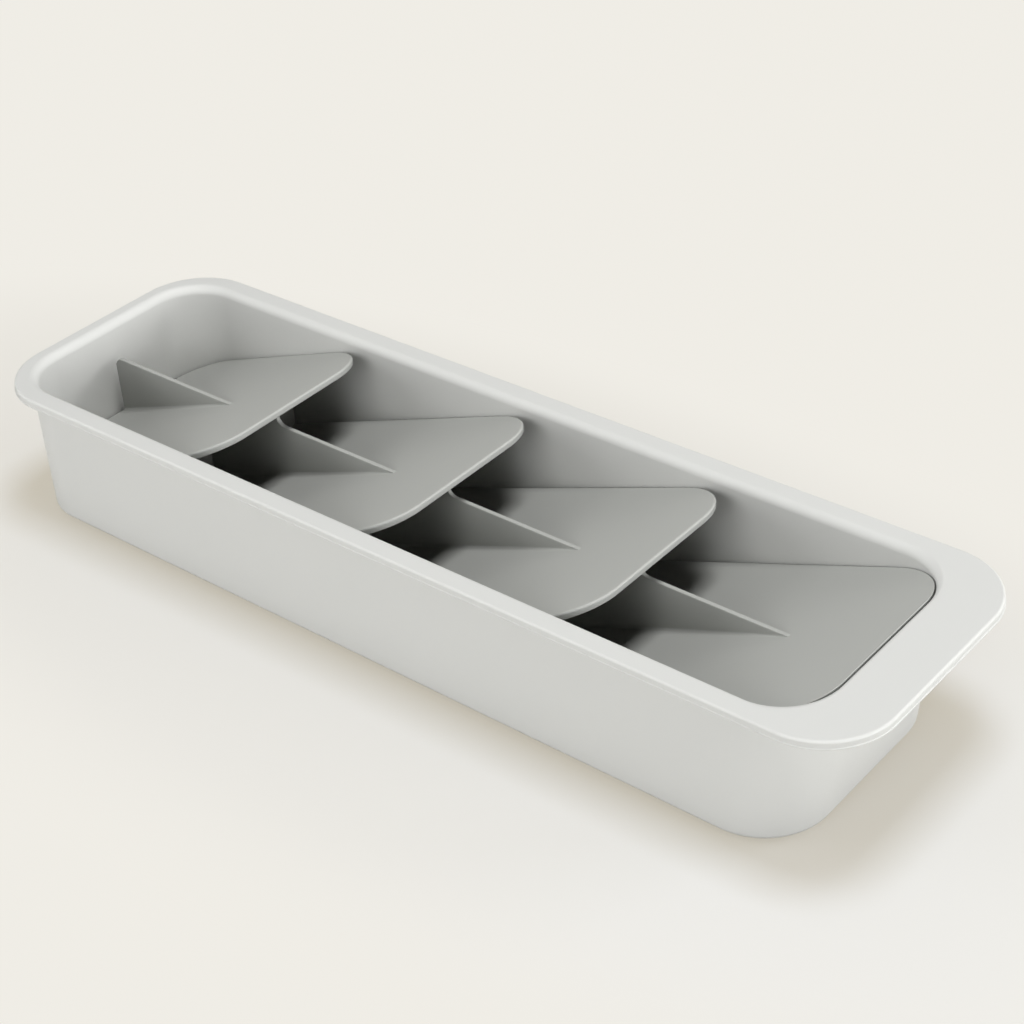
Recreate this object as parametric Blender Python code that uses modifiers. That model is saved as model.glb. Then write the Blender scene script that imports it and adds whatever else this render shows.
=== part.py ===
"""A tiered cutlery organizer: a shallow drawer tray with four overlapping sloping shelves.

The tray is one moulding with a narrow rolled rim on three sides and a wide flange at the front.
Four shelves climb toward the front, and each passes under the one behind it, so that cutlery
lies on a slope with its handles under the next shelf. A fin splits each shelf into two
compartments, and carries the front edge of the shelf above. Each shelf stands on a foot wall
whose tabs drop through slots in the tray's floor, and its sides lie over ledges on the walls.
The tray stands on four rubber feet.

Axes: +X toward the wide front flange, +Z up. The origin is on the surface that the feet stand
on, below the middle of the rim. All lengths are in metres.
"""

import math

import bmesh
import bpy
from mathutils import Matrix, Vector

# Overall size, over the rim and down to the feet
LENGTH = 0.396
WIDTH = 0.115
HEIGHT = 0.0606

# Rim and flange
RIM_CORNER_RADIUS = 0.027
RIM_PLATE = 0.0021
LIP_HEIGHT = 0.0034
LIP_WALL = 0.0016
LIP_EDGE_RADIUS = 0.0006
SIDE_RIM_WIDTH = 0.0095
REAR_RIM_WIDTH = 0.0074
FLANGE_WIDTH = 0.0218
ROLL_RADIUS = 0.0042
FLANGE_EDGE_RADIUS = 0.0006

# Tub below the rim
WALL = 0.0028
FLOOR = 0.0026
REAR_CORNER_RADIUS = 0.0200
FRONT_CORNER_RADIUS = 0.0225
WALL_DRAFT = math.radians(0.3)
FRONT_DRAFT = math.radians(7.0)
BASE_EDGE_RADIUS = 0.0026
FLOOR_EDGE_RADIUS = 0.0008

# Feet
FOOT_RADIUS = 0.0065
FOOT_STAND_OFF = 0.0013
FOOT_RECESS = 0.0009
FOOT_EDGE = 0.0004
FOOT_END_INSET = 0.0360
FOOT_SIDE_INSET = 0.0180

# Shelves, counted from the rear end of the tray
TIER_COUNT = 4
SHELF_SLOPE = math.radians(20.8)
SHELF_THICKNESS = 0.0028
SHELF_EDGE_BEVEL = 0.0006
SHELF_CORNER_RADIUS = 0.0225
SHELF_BELOW_RIM = 0.0001
REAR_TIER_RUN = 0.1051
FLANGE_GAP = 0.0005

# Fin and foot wall of each shelf
FIN_THICKNESS = 0.0018
FIN_BELOW_RIM = 0.0136
FIN_REAR_RADIUS = 0.0045
FIN_REAR_GAP = 0.0008
RISER_SETBACK = 0.0095
RISER_RADIUS = 0.0040
FOOT_WALL = 0.0020
TAB_THICKNESS = 0.0016
TAB_WIDTH = 0.0110
TAB_OFFSET = 0.0150

# Ledges on the tray's walls, under the shelves
LEDGE_DEPTH = 0.0016
LEDGE_HEIGHT = 0.0040
LEDGE_LENGTH = 0.0170
LEDGE_SETBACK = 0.0270
FRONT_LEDGE_WIDTH = 0.0300

# Clearances between pieces, and how far a cutter or a joined block runs past its seat
CLEARANCE = 0.00035
SIDE_CLEARANCE = 0.00050
SLOT_CLEARANCE = 0.00040
OVERRUN = 0.0010

# Fineness of the round stretches, and the distance under which points count as one
CORNER_STEPS = 8
FILLET_STEPS = 3
ROLL_STEPS = 4
FOOT_SIDES = 32
MERGE_DISTANCE = 0.000005
SMOOTH_ANGLE = math.radians(32)
BEVELLED_ANGLE = math.radians(40)

# Heights and places that follow from the sizes above
UNDERSIDE_Z = FOOT_STAND_OFF
FLOOR_Z = UNDERSIDE_Z + FLOOR
SHELF_RISE = math.tan(SHELF_SLOPE)
SHELF_DEPTH = SHELF_THICKNESS / math.cos(SHELF_SLOPE)
SHELF_EDGE_Z = HEIGHT - SHELF_BELOW_RIM
FIN_Z = HEIGHT - FIN_BELOW_RIM
OPENING_FRONT_X = LENGTH / 2 - FLANGE_WIDTH
OPENING_REAR_X = REAR_RIM_WIDTH - LENGTH / 2
FRONT_TIER_X = OPENING_FRONT_X - FLANGE_GAP
REAR_TIER_X = OPENING_REAR_X + REAR_TIER_RUN
TIER_PITCH = (FRONT_TIER_X - REAR_TIER_X) / (TIER_COUNT - 1)

# Colours as linear values
TRAY_COLOUR = (0.600, 0.605, 0.580, 1.0)
TIER_COLOUR = (0.345, 0.350, 0.335, 1.0)
FOOT_COLOUR = (0.120, 0.120, 0.118, 1.0)


def clear_scene():
    """Removes what the scene holds."""
    for thing in list(bpy.data.objects):
        bpy.data.objects.remove(thing, do_unlink=True)


def make_collection(name):
    """Returns a new collection linked to the scene."""
    collection = bpy.data.collections.new(name)
    bpy.context.scene.collection.children.link(collection)
    return collection


def make_material(name, colour, roughness):
    """Returns a moulded plastic or rubber material."""
    material = bpy.data.materials.new(name)
    material.use_nodes = True
    shader = material.node_tree.nodes["Principled BSDF"]
    shader.inputs["Base Color"].default_value = colour
    shader.inputs["Roughness"].default_value = roughness
    shader.inputs["Metallic"].default_value = 0.0
    return material


def add_object(name, bm, material, collection):
    """Turns a bmesh into an object with its normals pointing out."""
    bmesh.ops.recalc_face_normals(bm, faces=bm.faces)
    mesh = bpy.data.meshes.new(name)
    bm.to_mesh(mesh)
    bm.free()
    if material:
        mesh.materials.append(material)
    mesh.shade_smooth()
    mesh.set_sharp_from_angle(angle=SMOOTH_ANGLE)
    made = bpy.data.objects.new(name, mesh)
    collection.objects.link(made)
    return made


def add_tool(name, bm, collection):
    """Makes an object that only cuts or joins other objects."""
    tool = add_object(name, bm, None, collection)
    tool.hide_render = True
    tool.display_type = "WIRE"
    return tool


def combine(target, tool, operation):
    """Puts a Boolean modifier on the target."""
    modifier = target.modifiers.new(tool.name, "BOOLEAN")
    modifier.operation = operation
    modifier.object = tool
    return modifier


def outline_solid(name, points, thickness):
    """Extrudes a flat outline evenly to both sides of its plane, and returns it as a bmesh."""
    curve = bpy.data.curves.new(name, "CURVE")
    curve.dimensions = "2D"
    curve.fill_mode = "BOTH"
    curve.extrude = thickness / 2
    spline = curve.splines.new("POLY")
    spline.points.add(len(points) - 1)
    for place, (across, up) in zip(spline.points, points):
        place.co = (across, up, 0, 1)
    spline.use_cyclic_u = True
    holder = bpy.data.objects.new(name, curve)
    bpy.context.scene.collection.objects.link(holder)
    graph = bpy.context.evaluated_depsgraph_get()
    mesh = bpy.data.meshes.new_from_object(holder.evaluated_get(graph))
    bpy.data.objects.remove(holder, do_unlink=True)
    bpy.data.curves.remove(curve)
    bm = bmesh.new()
    bm.from_mesh(mesh)
    bpy.data.meshes.remove(mesh)
    bmesh.ops.remove_doubles(bm, verts=bm.verts, dist=MERGE_DISTANCE)
    return bm


def add_block(bm, centre, size, rise=0.0):
    """Adds a box to a bmesh; with a rise, its top and bottom climb by that much per unit of X."""
    climb = Matrix.Identity(4)
    climb[2][0] = rise
    place = Matrix.Translation(centre) @ climb @ Matrix.Diagonal((*size, 1))
    bmesh.ops.create_cube(bm, size=1, matrix=place)


def arc(centre, radius, start_degrees, end_degrees, steps):
    """Returns the points of an arc, both ends included."""
    points = []
    for step in range(steps + 1):
        angle = math.radians(start_degrees + (end_degrees - start_degrees) * step / steps)
        across = centre[0] + radius * math.cos(angle)
        up = centre[1] + radius * math.sin(angle)
        points.append((across, up))
    return points


def rounded_outline(rear_x, front_x, half_width, rear_radius, front_radius):
    """Walks round a rectangle with rounded corners, counter-clockwise from the front's far side.

    Each stop is a point, the direction that points out of the outline there, and how far round
    a front corner it lies: 0 on the sides and the rear, 1 on the front.
    """
    corners = (
        (front_x - front_radius, half_width - front_radius, front_radius, 0, (1, 0)),
        (rear_x + rear_radius, half_width - rear_radius, rear_radius, 90, (0, 0)),
        (rear_x + rear_radius, rear_radius - half_width, rear_radius, 180, (0, 0)),
        (front_x - front_radius, front_radius - half_width, front_radius, 270, (0, 1)),
    )
    stops = []
    for centre_x, centre_y, radius, start, (front_start, front_end) in corners:
        for step in range(CORNER_STEPS + 1):
            share = step / CORNER_STEPS
            angle = math.radians(start + 90 * share)
            out = Vector((math.cos(angle), math.sin(angle)))
            point = Vector((centre_x, centre_y)) + out * radius
            toward_front = front_start + (front_end - front_start) * share
            stops.append((point, out, toward_front))
    return stops


def rim_ring(inset, z):
    """Returns the ring of points of the rim's outline, drawn in by an inset, at a height."""
    stops = rounded_outline(
        inset - LENGTH / 2,
        LENGTH / 2 - inset,
        WIDTH / 2 - inset,
        RIM_CORNER_RADIUS - inset,
        RIM_CORNER_RADIUS - inset,
    )
    return [(point.x, point.y, z) for point, out, toward_front in stops]


def wall_half_width(z):
    """Returns half the distance between the long inner walls at a height."""
    return WIDTH / 2 - SIDE_RIM_WIDTH - (HEIGHT - z) * math.tan(WALL_DRAFT)


def wall_rear_x(z):
    """Returns the place of the rear end's inner wall at a height."""
    return OPENING_REAR_X + (HEIGHT - z) * math.tan(WALL_DRAFT)


def wall_front_x(z):
    """Returns the place of the front end's inner wall at a height."""
    return OPENING_FRONT_X - (HEIGHT - z) * math.tan(FRONT_DRAFT)


def wall_stops(z, grown):
    """Returns the stops of the inner walls' outline at a height, moved out by some amount."""
    return rounded_outline(
        wall_rear_x(z) - grown,
        wall_front_x(z) + grown,
        wall_half_width(z) + grown,
        REAR_CORNER_RADIUS + grown,
        FRONT_CORNER_RADIUS + grown,
    )


def wall_ring(z, grown):
    """Returns the ring of points of the inner walls, moved out by some amount, at a height."""
    return [(point.x, point.y, z) for point, out, toward_front in wall_stops(z, grown)]


def roll_ring(turn):
    """Returns a ring of the rolled inner edge of the rim.

    The turn goes from 0, where the rim is flat, to a right angle, where the wall begins. The
    roll is soft on three sides and tightens round the front corners to the flange's crisp edge.
    """
    ring = []
    for point, out, toward_front in wall_stops(HEIGHT, 0):
        radius = ROLL_RADIUS + (FLANGE_EDGE_RADIUS - ROLL_RADIUS) * toward_front
        z = HEIGHT - radius * (1 - math.cos(turn))
        place = point + out * radius * (1 - math.sin(turn))
        ring.append((place.x, place.y, z))
    return ring


def quarter_turns(steps):
    """Returns the angles from 0 to a right angle in even steps."""
    return [math.pi / 2 * step / steps for step in range(steps + 1)]


def tray_rings():
    """Returns the rings of the tray's surface, from the middle of the underside round the rim
    to the middle of the floor."""
    under_rim_z = HEIGHT - RIM_PLATE
    lip_z = HEIGHT - LIP_HEIGHT
    rings = []
    for turn in quarter_turns(FILLET_STEPS):
        z = UNDERSIDE_Z + BASE_EDGE_RADIUS * (1 - math.cos(turn))
        rings.append(wall_ring(z, WALL - BASE_EDGE_RADIUS * (1 - math.sin(turn))))
    rings.append(wall_ring(under_rim_z, WALL))
    rings.append(rim_ring(LIP_WALL, under_rim_z))
    rings.append(rim_ring(LIP_WALL, lip_z))
    rings.append(rim_ring(0, lip_z))
    for turn in quarter_turns(FILLET_STEPS):
        inset = LIP_EDGE_RADIUS * (1 - math.cos(turn))
        rings.append(rim_ring(inset, HEIGHT - LIP_EDGE_RADIUS * (1 - math.sin(turn))))
    for turn in quarter_turns(ROLL_STEPS):
        rings.append(roll_ring(turn))
    for turn in quarter_turns(FILLET_STEPS):
        z = FLOOR_Z + FLOOR_EDGE_RADIUS * (1 - math.sin(turn))
        rings.append(wall_ring(z, FLOOR_EDGE_RADIUS * (math.cos(turn) - 1)))
    return rings


def loft(rings):
    """Skins a stack of rings with equal numbers of points, and closes its first and last ring."""
    bm = bmesh.new()
    rows = [[bm.verts.new(point) for point in ring] for ring in rings]
    count = len(rows[0])
    for low, high in zip(rows, rows[1:]):
        for here in range(count):
            after = (here + 1) % count
            bm.faces.new((low[here], low[after], high[after], high[here]))
    bm.faces.new(rows[0])
    bm.faces.new(rows[-1])
    return bm


def tier_edge_x(number):
    """Returns the place of a shelf's front edge; shelf 1 is at the rear."""
    return REAR_TIER_X + TIER_PITCH * (number - 1)


def shelf_top_z(number, x):
    """Returns the height of a shelf's upper face."""
    return SHELF_EDGE_Z - (tier_edge_x(number) - x) * SHELF_RISE


def shelf_under_z(number, x):
    """Returns the height of a shelf's lower face."""
    return shelf_top_z(number, x) - SHELF_DEPTH


def tier_heel_x(number):
    """Returns the place of the rear face of a shelf's foot wall.

    The rearmost shelf's stands halfway between the tray's end wall and the second shelf's.
    """
    if number == 1:
        return (OPENING_REAR_X + tier_heel_x(2) - FOOT_WALL) / 2
    run = (SHELF_EDGE_Z - SHELF_DEPTH - FLOOR_Z - CLEARANCE) / SHELF_RISE
    return tier_edge_x(number) - run


def make_shelf(name, number, material, collection):
    """Makes a shelf's sloping plate, with a fine bevel round its edges."""
    edge_x = tier_edge_x(number)
    if number == 1:
        lowest_z = shelf_under_z(number, OPENING_REAR_X)
        rear_x = wall_rear_x(lowest_z) + SIDE_CLEARANCE
        rear_radius = REAR_CORNER_RADIUS - SIDE_CLEARANCE
    else:
        rear_x = tier_heel_x(number) + FOOT_WALL / 2
        rear_radius = FOOT_WALL
    top_half_width = wall_half_width(SHELF_EDGE_Z) - SIDE_CLEARANCE
    stops = rounded_outline(rear_x, edge_x, top_half_width, rear_radius, SHELF_CORNER_RADIUS)
    outline = [(point.x, point.y) for point, out, toward_front in stops]
    bm = outline_solid(name, outline, SHELF_DEPTH)
    middle_z = SHELF_EDGE_Z - SHELF_DEPTH / 2
    for vert in bm.verts:
        vert.co.z += middle_z - (edge_x - vert.co.x) * SHELF_RISE
        room = wall_half_width(vert.co.z) - SIDE_CLEARANCE
        vert.co.y *= room / top_half_width
    shelf = add_object(name, bm, material, collection)
    bevel = shelf.modifiers.new("edge", "BEVEL")
    bevel.width = SHELF_EDGE_BEVEL
    bevel.segments = 1
    bevel.limit_method = "ANGLE"
    bevel.angle_limit = BEVELLED_ANGLE
    return shelf


def fin_outline(number):
    """Returns a fin's outline in X and Z: its lower edge lies inside the shelf's plate."""
    heel_x = tier_heel_x(number) + FOOT_WALL / 2
    tip_x = tier_edge_x(number) - (SHELF_EDGE_Z - SHELF_DEPTH / 2 - FIN_Z) / SHELF_RISE
    points = [(tip_x, FIN_Z)]
    if number == 1:
        rear_x = wall_rear_x(FIN_Z) + FIN_REAR_GAP
        centre = (rear_x + FIN_REAR_RADIUS, FIN_Z - FIN_REAR_RADIUS)
        points += arc(centre, FIN_REAR_RADIUS, 90, 180, FILLET_STEPS)
        low_rear_x = wall_rear_x(shelf_under_z(number, rear_x)) + FIN_REAR_GAP
        points.append((low_rear_x, shelf_top_z(number, low_rear_x) - SHELF_DEPTH / 2))
        return points
    above = number - 1
    riser_x = tier_edge_x(above) - RISER_SETBACK
    centre = (riser_x + RISER_RADIUS, FIN_Z + RISER_RADIUS)
    points += arc(centre, RISER_RADIUS, 270, 180, FILLET_STEPS)
    points.append((riser_x, shelf_under_z(above, riser_x) - CLEARANCE))
    points.append((heel_x, shelf_under_z(above, heel_x) - CLEARANCE))
    points.append((heel_x, shelf_top_z(number, heel_x) - SHELF_DEPTH / 2))
    return points


def make_fin(name, number, collection):
    """Makes the upright fin along the middle of a shelf."""
    bm = outline_solid(name, fin_outline(number), FIN_THICKNESS)
    bmesh.ops.transform(bm, matrix=Matrix.Rotation(math.radians(90), 4, "X"), verts=bm.verts)
    return add_tool(name, bm, collection)


def make_foot_wall(name, number, collection):
    """Makes the wall that a shelf stands on; under the next shelves it is also the rear stop."""
    heel_x = tier_heel_x(number)
    low_z = FLOOR_Z + CLEARANCE
    if number == 1:
        top_z = shelf_top_z(number, heel_x + FOOT_WALL / 2) - SHELF_DEPTH / 2
    else:
        top_z = shelf_under_z(number - 1, heel_x) - CLEARANCE
    size = (FOOT_WALL, 2 * (wall_half_width(low_z) - SIDE_CLEARANCE), top_z - low_z)
    bm = bmesh.new()
    add_block(bm, (heel_x + FOOT_WALL / 2, 0, (low_z + top_z) / 2), size)
    return add_tool(name, bm, collection)


def make_tabs(name, number, collection):
    """Makes the two tabs under a foot wall that drop into the slots in the tray's floor."""
    low_z = UNDERSIDE_Z + CLEARANCE
    high_z = FLOOR_Z + CLEARANCE + OVERRUN
    size = (TAB_THICKNESS, TAB_WIDTH, high_z - low_z)
    middle_x = tier_heel_x(number) + FOOT_WALL / 2
    bm = bmesh.new()
    for side in (-1, 1):
        add_block(bm, (middle_x, side * TAB_OFFSET, (low_z + high_z) / 2), size)
    return add_tool(name, bm, collection)


def make_tier(number, material, parts, tools):
    """Makes one shelf moulding: plate, fin, foot wall and tabs joined into one piece."""
    name = f"tier_{number}"
    tier = make_shelf(name, number, material, parts)
    combine(tier, make_fin(f"{name}_fin", number, tools), "UNION")
    combine(tier, make_foot_wall(f"{name}_foot_wall", number, tools), "UNION")
    combine(tier, make_tabs(f"{name}_tabs", number, tools), "UNION")
    return tier


def ledge_blocks():
    """Returns a bmesh of the blocks inside the tray that the shelves lie on."""
    bm = bmesh.new()
    reach = LEDGE_DEPTH + OVERRUN
    for number in range(1, TIER_COUNT + 1):
        middle_x = tier_edge_x(number) - LEDGE_SETBACK - LEDGE_LENGTH / 2
        middle_z = shelf_under_z(number, middle_x) - CLEARANCE - LEDGE_HEIGHT / 2
        for side in (-1, 1):
            middle_y = side * (wall_half_width(middle_z) - LEDGE_DEPTH + reach / 2)
            size = (LEDGE_LENGTH, reach, LEDGE_HEIGHT)
            add_block(bm, (middle_x, middle_y, middle_z), size, SHELF_RISE)
    top_z = shelf_under_z(TIER_COUNT, FRONT_TIER_X - LEDGE_DEPTH) - CLEARANCE
    middle_x = wall_front_x(top_z) - LEDGE_DEPTH + reach / 2
    middle_z = shelf_under_z(TIER_COUNT, middle_x) - CLEARANCE - LEDGE_HEIGHT / 2
    size = (reach, FRONT_LEDGE_WIDTH, LEDGE_HEIGHT)
    add_block(bm, (middle_x, 0, middle_z), size, SHELF_RISE)
    return bm


def foot_places():
    """Returns the names and centres of the four feet."""
    rear_x = wall_rear_x(FLOOR_Z) + FOOT_END_INSET
    front_x = wall_front_x(FLOOR_Z) - FOOT_END_INSET
    side_y = wall_half_width(FLOOR_Z) - FOOT_SIDE_INSET
    return (
        ("foot_rear_left", rear_x, side_y),
        ("foot_rear_right", rear_x, -side_y),
        ("foot_front_left", front_x, side_y),
        ("foot_front_right", front_x, -side_y),
    )


def slot_blocks():
    """Returns a bmesh of the blocks that cut the tab slots through the floor."""
    bm = bmesh.new()
    size = (
        TAB_THICKNESS + 2 * SLOT_CLEARANCE,
        TAB_WIDTH + 2 * SLOT_CLEARANCE,
        FLOOR + 2 * OVERRUN,
    )
    for number in range(1, TIER_COUNT + 1):
        middle_x = tier_heel_x(number) + FOOT_WALL / 2
        for side in (-1, 1):
            centre = (middle_x, side * TAB_OFFSET, UNDERSIDE_Z + FLOOR / 2)
            add_block(bm, centre, size)
    return bm


def recess_discs():
    """Returns a bmesh of the discs that cut the seats of the feet into the underside."""
    bm = bmesh.new()
    for name, x, y in foot_places():
        depth = FOOT_RECESS + OVERRUN
        middle_z = UNDERSIDE_Z + FOOT_RECESS - depth / 2
        bmesh.ops.create_cone(
            bm,
            cap_ends=True,
            segments=FOOT_SIDES,
            radius1=FOOT_RADIUS + CLEARANCE,
            radius2=FOOT_RADIUS + CLEARANCE,
            depth=depth,
            matrix=Matrix.Translation((x, y, middle_z)),
        )
    return bm


def make_tray(material, parts, tools):
    """Makes the tray: rim, walls and floor, with the ledges, slots and foot seats."""
    tray = add_object("tray", loft(tray_rings()), material, parts)
    combine(tray, add_tool("tray_ledges", ledge_blocks(), tools), "UNION")
    combine(tray, add_tool("tray_slots", slot_blocks(), tools), "DIFFERENCE")
    combine(tray, add_tool("tray_foot_seats", recess_discs(), tools), "DIFFERENCE")
    return tray


def make_foot(name, x, y, material, collection):
    """Makes one round rubber foot, bevelled where it meets the drawer."""
    top_z = UNDERSIDE_Z + FOOT_RECESS - CLEARANCE
    bm = bmesh.new()
    bmesh.ops.create_cone(
        bm,
        cap_ends=True,
        segments=FOOT_SIDES,
        radius1=FOOT_RADIUS,
        radius2=FOOT_RADIUS,
        depth=top_z,
        matrix=Matrix.Translation((0, 0, top_z / 2)),
    )
    foot = add_object(name, bm, material, collection)
    foot.location = (x, y, 0)
    bevel = foot.modifiers.new("edge", "BEVEL")
    bevel.width = FOOT_EDGE
    bevel.segments = 1
    bevel.limit_method = "ANGLE"
    return foot


def main():
    """Builds the organizer."""
    clear_scene()
    parts = make_collection("tiered_cutlery_organizer")
    tools = make_collection("shaping_tools")
    tray_plastic = make_material("tray_plastic", TRAY_COLOUR, 0.45)
    tier_plastic = make_material("tier_plastic", TIER_COLOUR, 0.50)
    foot_rubber = make_material("foot_rubber", FOOT_COLOUR, 0.80)
    make_tray(tray_plastic, parts, tools)
    for number in range(1, TIER_COUNT + 1):
        make_tier(number, tier_plastic, parts, tools)
    for name, x, y in foot_places():
        make_foot(name, x, y, foot_rubber, parts)


main()
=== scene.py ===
"""Looks of the tiered cutlery organizer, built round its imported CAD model.

The tray, its four shelves and its four feet are modelled once more in fine meshes, with the
rolled rim, the soft fillets and the rounded edges of real mouldings. Each stands for its CAD
node and takes its place from it. All lengths are in metres, in the frame of the CAD model.
"""

import logging
import math
from dataclasses import dataclass
from enum import Enum, IntEnum
from typing import Callable

import bmesh
import bpy
from mathutils import Matrix, Vector


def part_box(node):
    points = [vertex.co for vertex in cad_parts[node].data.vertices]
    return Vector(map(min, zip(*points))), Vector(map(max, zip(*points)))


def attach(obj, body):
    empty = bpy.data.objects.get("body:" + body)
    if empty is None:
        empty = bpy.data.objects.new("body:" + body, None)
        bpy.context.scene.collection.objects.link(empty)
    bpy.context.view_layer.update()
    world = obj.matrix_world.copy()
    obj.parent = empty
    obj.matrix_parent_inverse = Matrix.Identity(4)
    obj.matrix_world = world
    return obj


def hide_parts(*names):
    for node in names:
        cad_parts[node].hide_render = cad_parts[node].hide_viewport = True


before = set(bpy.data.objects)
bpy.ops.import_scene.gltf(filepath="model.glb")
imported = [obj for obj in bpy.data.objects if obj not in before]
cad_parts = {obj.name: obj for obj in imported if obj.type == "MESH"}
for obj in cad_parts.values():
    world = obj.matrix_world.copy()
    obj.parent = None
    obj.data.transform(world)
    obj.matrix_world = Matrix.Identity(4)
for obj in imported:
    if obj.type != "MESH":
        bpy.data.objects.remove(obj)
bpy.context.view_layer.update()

LOG = logging.getLogger("organizer")
BODY = "root"
WHITE = (1.0, 1.0, 1.0)
# Points this close together become one
MERGE_DISTANCE = 0.00002
# Places this close together count as the same
NEAR = 0.00005
VERY_NEAR = NEAR / 2
SMOOTH_ANGLE = math.radians(40)
# How strongly large faces decide the shading beside them
FLAT_FACE_WEIGHT = 100
# The bevel profile that is a part of a circle
ROUND_PROFILE = 0.5
NOISE_MIDDLE = 0.5


class Slot(Enum):
    """The record's material slots."""

    TRAY = "tray_plastic"
    TIER = "tier_plastic"
    FOOT = "foot_rubber"


class Joining(Enum):
    """What a second shape does to the first."""

    ADD = "UNION"
    CUT = "DIFFERENCE"


class Element(Enum):
    """The kinds of element that an edit can act on."""

    VERT = "verts"
    EDGE = "edges"
    FACE = "faces"


class Steps(IntEnum):
    """How many faces lie across a rounding."""

    TINY = 3
    SMALL = 4
    PLATE = 5
    LIP = 6
    BASE = 8
    ROLL = 10


@dataclass(frozen=True)
class Outline:
    """A rectangle with rounded corners, level, and even on both sides of the middle plane.

    Attributes:
        rear_x: Where its rear side lies.
        front_x: Where its front side lies.
        half_width: Half its width.
        rear_radius: Radius of the two rear corners.
        front_radius: Radius of the two front corners.
    """

    rear_x: float
    front_x: float
    half_width: float
    rear_radius: float
    front_radius: float

    def inset(self, by: float) -> "Outline":
        """Draws the outline in evenly.

        Args:
            by: By which distance; a negative one moves it out.

        Returns:
            The new outline.
        """
        return Outline(
            self.rear_x + by,
            self.front_x - by,
            self.half_width - by,
            self.rear_radius - by,
            self.front_radius - by,
        )


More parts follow.
